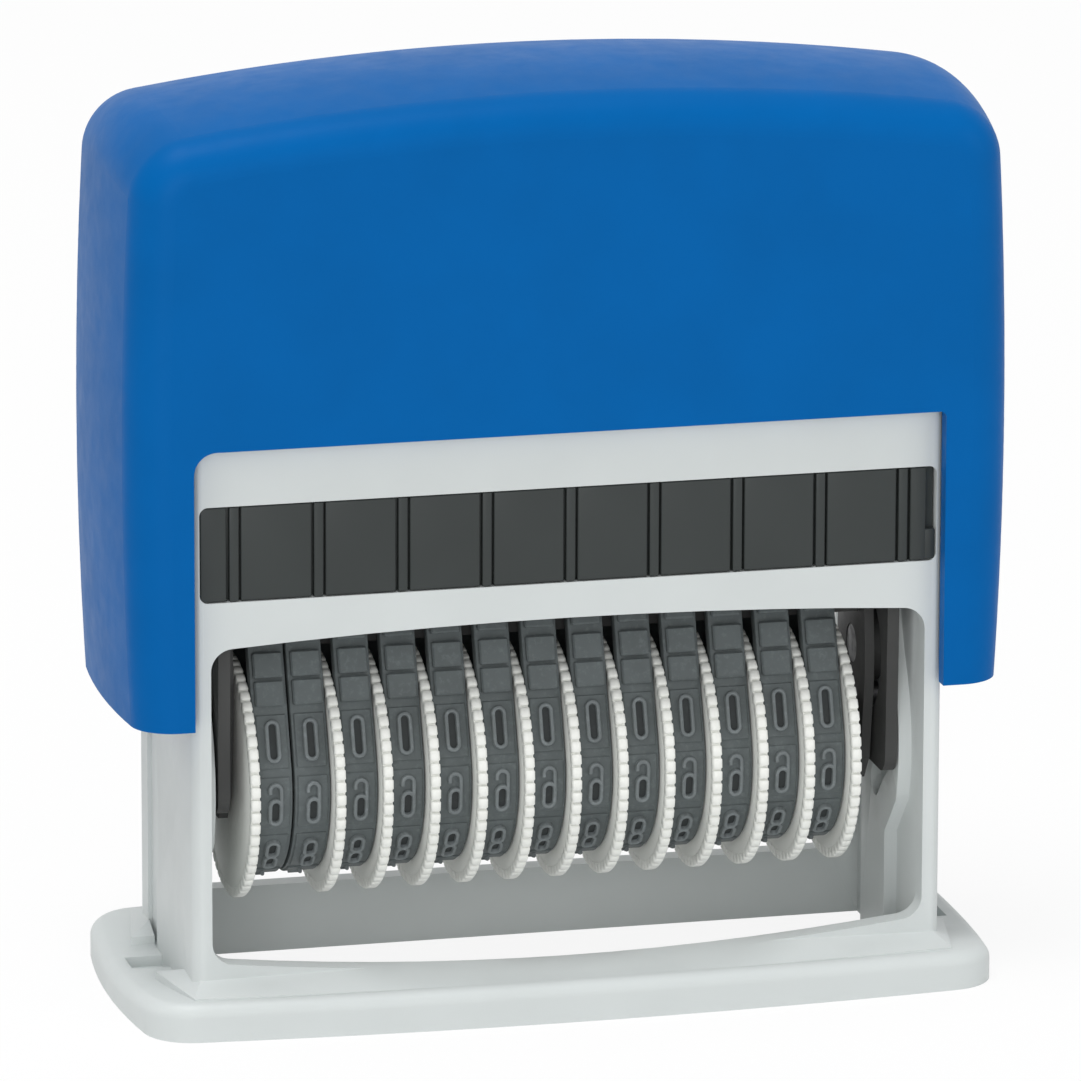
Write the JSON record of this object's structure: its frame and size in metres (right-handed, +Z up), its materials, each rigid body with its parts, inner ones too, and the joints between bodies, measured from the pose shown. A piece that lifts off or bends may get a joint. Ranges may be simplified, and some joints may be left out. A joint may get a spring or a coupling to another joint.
{
  "type": "numbering stamp",
  "caption": "Self-inking hand stamp whose row of thumbwheels sets rubber number bands; pressing the cap flips the type from an ink pad onto the paper.",
  "frame": {"origin": "middle of the foot's underside, on the surface that the stamp stands on", "axes": "+Z up along the press stroke, -Y to the front with the wheel window, +X along the row of wheels to the right"},
  "size_m": [0.0756, 0.0328, 0.0783],
  "materials": {
    "frame_plastic": "satin light grey moulded",
    "cap_plastic": "smooth satin-gloss blue moulded",
    "yoke_plastic": "dark grey moulded",
    "pad_plastic": "near-black satin moulded",
    "ink_felt": "ink-soaked foam",
    "carrier_plastic": "dark grey moulded",
    "steel": "drawn rod",
    "spring_steel": "bright spring wire",
    "wheel_plastic": "natural off-white moulded",
    "band_rubber": "matte dark grey moulded rubber"
  },
  "bodies": {
    "frame": {"frame": "frame_plastic"},
    "pad": {"pad_cartridge": "pad_plastic", "ink_felt": "ink_felt"},
    "cap": {"cap_shell": "cap_plastic", "yoke": "yoke_plastic", "pivot_pin_left": "steel", "pivot_pin_right": "steel", "return_spring_left": "spring_steel", "return_spring_right": "spring_steel"},
    "carrier": {"carrier_cheek_left": "carrier_plastic", "carrier_cheek_right": "carrier_plastic", "cam_pin_left": "steel", "cam_pin_right": "steel", "platen_bar": "carrier_plastic", "wheel_axle": "steel", "axle_spacer": "carrier_plastic", "band_01": "band_rubber", "band_02": "band_rubber", "band_03": "band_rubber", "band_04": "band_rubber", "band_05": "band_rubber", "band_06": "band_rubber", "band_07": "band_rubber", "band_08": "band_rubber", "band_09": "band_rubber", "band_10": "band_rubber", "band_11": "band_rubber", "band_12": "band_rubber", "band_13": "band_rubber"},
    "wheel_01": {"thumbwheel_01": "wheel_plastic"},
    "wheel_02": {"thumbwheel_02": "wheel_plastic"},
    "wheel_03": {"thumbwheel_03": "wheel_plastic"},
    "wheel_04": {"thumbwheel_04": "wheel_plastic"},
    "wheel_05": {"thumbwheel_05": "wheel_plastic"},
    "wheel_06": {"thumbwheel_06": "wheel_plastic"},
    "wheel_07": {"thumbwheel_07": "wheel_plastic"},
    "wheel_08": {"thumbwheel_08": "wheel_plastic"},
    "wheel_09": {"thumbwheel_09": "wheel_plastic"},
    "wheel_10": {"thumbwheel_10": "wheel_plastic"},
    "wheel_11": {"thumbwheel_11": "wheel_plastic"},
    "wheel_12": {"thumbwheel_12": "wheel_plastic"},
    "wheel_13": {"thumbwheel_13": "wheel_plastic"}
  },
  "joints": [
    {"name": "cap_press", "type": "slide", "parent": "frame", "child": "cap", "axis": [0, 0, -1], "range_m": [0, 0.0166], "stiffness_N_per_m": 400, "springref_m": -0.008, "deforming": ["return_spring_left", "return_spring_right"]},
    {"name": "carrier_flip", "type": "hinge", "parent": "cap", "child": "carrier", "pos_m": [0, 0, 0.02643], "axis": [-1, 0, 0], "range_deg": [0, 180.5]},
    {"name": "wheel_turn_01", "type": "hinge", "parent": "carrier", "child": "wheel_01", "pos_m": [0, 0, 0.01855], "axis": [1, 0, 0], "continuous": true},
    {"name": "wheel_turn_02", "type": "hinge", "parent": "carrier", "child": "wheel_02", "pos_m": [0, 0, 0.01855], "axis": [1, 0, 0], "continuous": true},
    {"name": "wheel_turn_03", "type": "hinge", "parent": "carrier", "child": "wheel_03", "pos_m": [0, 0, 0.01855], "axis": [1, 0, 0], "continuous": true},
    {"name": "wheel_turn_04", "type": "hinge", "parent": "carrier", "child": "wheel_04", "pos_m": [0, 0, 0.01855], "axis": [1, 0, 0], "continuous": true},
    {"name": "wheel_turn_05", "type": "hinge", "parent": "carrier", "child": "wheel_05", "pos_m": [0, 0, 0.01855], "axis": [1, 0, 0], "continuous": true},
    {"name": "wheel_turn_06", "type": "hinge", "parent": "carrier", "child": "wheel_06", "pos_m": [0, 0, 0.01855], "axis": [1, 0, 0], "continuous": true},
    {"name": "wheel_turn_07", "type": "hinge", "parent": "carrier", "child": "wheel_07", "pos_m": [0, 0, 0.01855], "axis": [1, 0, 0], "continuous": true},
    {"name": "wheel_turn_08", "type": "hinge", "parent": "carrier", "child": "wheel_08", "pos_m": [0, 0, 0.01855], "axis": [1, 0, 0], "continuous": true},
    {"name": "wheel_turn_09", "type": "hinge", "parent": "carrier", "child": "wheel_09", "pos_m": [0, 0, 0.01855], "axis": [1, 0, 0], "continuous": true},
    {"name": "wheel_turn_10", "type": "hinge", "parent": "carrier", "child": "wheel_10", "pos_m": [0, 0, 0.01855], "axis": [1, 0, 0], "continuous": true},
    {"name": "wheel_turn_11", "type": "hinge", "parent": "carrier", "child": "wheel_11", "pos_m": [0, 0, 0.01855], "axis": [1, 0, 0], "continuous": true},
    {"name": "wheel_turn_12", "type": "hinge", "parent": "carrier", "child": "wheel_12", "pos_m": [0, 0, 0.01855], "axis": [1, 0, 0], "continuous": true},
    {"name": "wheel_turn_13", "type": "hinge", "parent": "carrier", "child": "wheel_13", "pos_m": [0, 0, 0.01855], "axis": [1, 0, 0], "continuous": true},
    {"name": "pad_slide", "type": "slide", "parent": "frame", "child": "pad", "axis": [0, -1, 0], "range_m": [0, 0.0215]}
  ],
  "couplings": [
    {"joint": "carrier_flip", "follows": "cap_press", "rad_per_m": 189.25}
  ]
}
